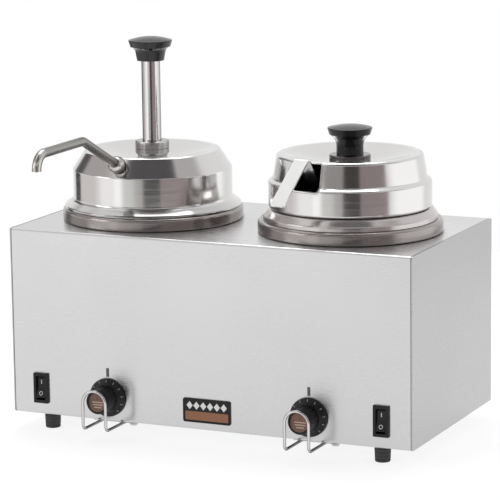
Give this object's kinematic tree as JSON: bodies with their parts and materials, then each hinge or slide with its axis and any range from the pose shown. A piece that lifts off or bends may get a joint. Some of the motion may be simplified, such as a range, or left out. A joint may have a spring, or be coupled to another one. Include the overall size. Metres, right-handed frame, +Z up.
{
  "type": "twin topping warmer",
  "caption": "Counter-top warmer with two heated wells: one jar with a push pump and a long spout, the other with a lift-off lid notched for a ladle, guarded dials and rocker switches.",
  "frame": {"origin": "centre of the overall footprint, spout included, at counter level", "axes": "+X to the user's right, +Y to the back, +Z up"},
  "size_m": [0.43, 0.3648, 0.388],
  "materials": {
    "housing_steel": "fine horizontal brushing",
    "plated_steel": "dull zinc plate",
    "fastener_steel": "satin",
    "brass": "satin",
    "rubber": "matt",
    "badge": "gloss black with a bright rim",
    "mark_paint": "matt print",
    "black_plastic": "satin",
    "white_ceramic": "glazed",
    "dial_plastic": "satin",
    "dial_insert": "spun",
    "bright_wire": "bright",
    "switch_plastic": "satin",
    "polished_steel": "polished",
    "element_sheath": "heat-darkened",
    "glass_wool": "fibre blanket",
    "mirror_steel": "mirror polished",
    "seal_rubber": "food-grade, matt",
    "knob_plastic": "gloss",
    "white_plastic": "satin",
    "spring_steel": "bright drawn"
  },
  "bodies": {
    "root": {"body_wrap": "housing_steel", "side_panel_left": "housing_steel", "side_panel_right": "housing_steel", "bottom_plate": "plated_steel", "base_screws": "fastener_steel", "guard_screws": "fastener_steel", "rubber_feet": "rubber", "foot_screws": "fastener_steel", "name_plate": "badge", "index_marks": "mark_paint", "cord_gland": "black_plastic", "terminal_block": "white_ceramic", "terminal_screws": "brass", "thermostat_left": "plated_steel", "thermostat_right": "plated_steel", "knob_guard_left": "bright_wire", "knob_guard_right": "bright_wire", "guard_bracket_left": "plated_steel", "guard_bracket_right": "plated_steel", "switch_bezel_left": "switch_plastic", "switch_bezel_right": "switch_plastic", "water_well_left": "polished_steel", "water_well_right": "polished_steel", "heating_element_left": "element_sheath", "heating_element_right": "element_sheath", "insulation_left": "glass_wool", "insulation_right": "glass_wool"},
    "dial_left": {"thermostat_knob_left": "dial_plastic", "thermostat_shaft_left": "brass", "knob_insert_left": "dial_insert"},
    "dial_right": {"thermostat_knob_right": "dial_plastic", "thermostat_shaft_right": "brass", "knob_insert_right": "dial_insert"},
    "rocker_left": {"switch_rocker_left": "switch_plastic"},
    "rocker_right": {"switch_rocker_right": "switch_plastic"},
    "jar_left": {"jar_left": "polished_steel"},
    "jar_right": {"jar_right": "polished_steel"},
    "pump": {"pump_lid": "mirror_steel", "collar_washer": "seal_rubber", "pump_cylinder": "polished_steel", "valve_body": "polished_steel", "discharge_riser": "polished_steel", "discharge_fitting": "mirror_steel", "spout_nut": "mirror_steel", "discharge_spout": "mirror_steel", "pump_spring": "spring_steel"},
    "collar": {"locking_collar": "mirror_steel"},
    "plunger": {"plunger_tube": "mirror_steel", "pump_knob": "knob_plastic", "piston": "white_plastic", "piston_seal": "seal_rubber"},
    "inlet_ball": {"inlet_ball": "mirror_steel"},
    "outlet_ball": {"outlet_ball": "mirror_steel"},
    "lift_lid": {"lift_lid": "mirror_steel", "knob_flange": "mirror_steel", "lid_knob": "knob_plastic", "lid_knob_screw": "fastener_steel"},
    "ladle": {"ladle_handle": "polished_steel", "ladle_bowl": "polished_steel"}
  },
  "joints": [
    {"name": "thermostat_turn_left", "type": "hinge", "parent": "root", "child": "dial_left", "pos_m": [-0.1085, -0.0436, 0.04], "axis": [0, 1, 0], "range_deg": [0, 270]},
    {"name": "thermostat_turn_right", "type": "hinge", "parent": "root", "child": "dial_right", "pos_m": [0.1085, -0.0436, 0.04], "axis": [0, 1, 0], "range_deg": [0, 270]},
    {"name": "switch_rock_left", "type": "hinge", "parent": "root", "child": "rocker_left", "pos_m": [-0.1834, -0.0421, 0.043], "axis": [1, 0, 0], "range_deg": [0, 18]},
    {"name": "switch_rock_right", "type": "hinge", "parent": "root", "child": "rocker_right", "pos_m": [0.1834, -0.0421, 0.043], "axis": [1, 0, 0], "range_deg": [0, 18]},
    {"name": "jar_lift_left", "type": "slide", "parent": "root", "child": "jar_left", "axis": [0, 0, 1], "range_m": [0, 0.175]},
    {"name": "jar_lift_right", "type": "slide", "parent": "root", "child": "jar_right", "axis": [0, 0, 1], "range_m": [0, 0.175]},
    {"name": "pump_lift", "type": "slide", "parent": "jar_left", "child": "pump", "axis": [0, 0, 1], "range_m": [0, 0.165]},
    {"name": "collar_turn", "type": "hinge", "parent": "pump", "child": "collar", "pos_m": [-0.1081, 0.0641, 0.276], "axis": [0, 0, 1], "range_deg": [0, 90]},
    {"name": "plunger_press", "type": "slide", "parent": "pump", "child": "plunger", "axis": [0, 0, -1], "range_m": [0, 0.045], "stiffness_N_per_m": 150, "springref_m": -0.05, "deforming": ["pump_spring"]},
    {"name": "inlet_ball_rise", "type": "slide", "parent": "pump", "child": "inlet_ball", "axis": [0, 0, 1], "range_m": [0, 0.003]},
    {"name": "outlet_ball_rise", "type": "slide", "parent": "pump", "child": "outlet_ball", "axis": [0, 0, 1], "range_m": [0, 0.003]},
    {"name": "lid_lift", "type": "slide", "parent": "jar_right", "child": "lift_lid", "axis": [0, 0, 1], "range_m": [0, 0.17]},
    {"name": "ladle_tilt", "type": "hinge", "parent": "lift_lid", "child": "ladle", "pos_m": [0.09292, -0.0073, 0.266], "axis": [-0.9781, 0.2079, 0], "range_deg": [0, 6]}
  ]
}
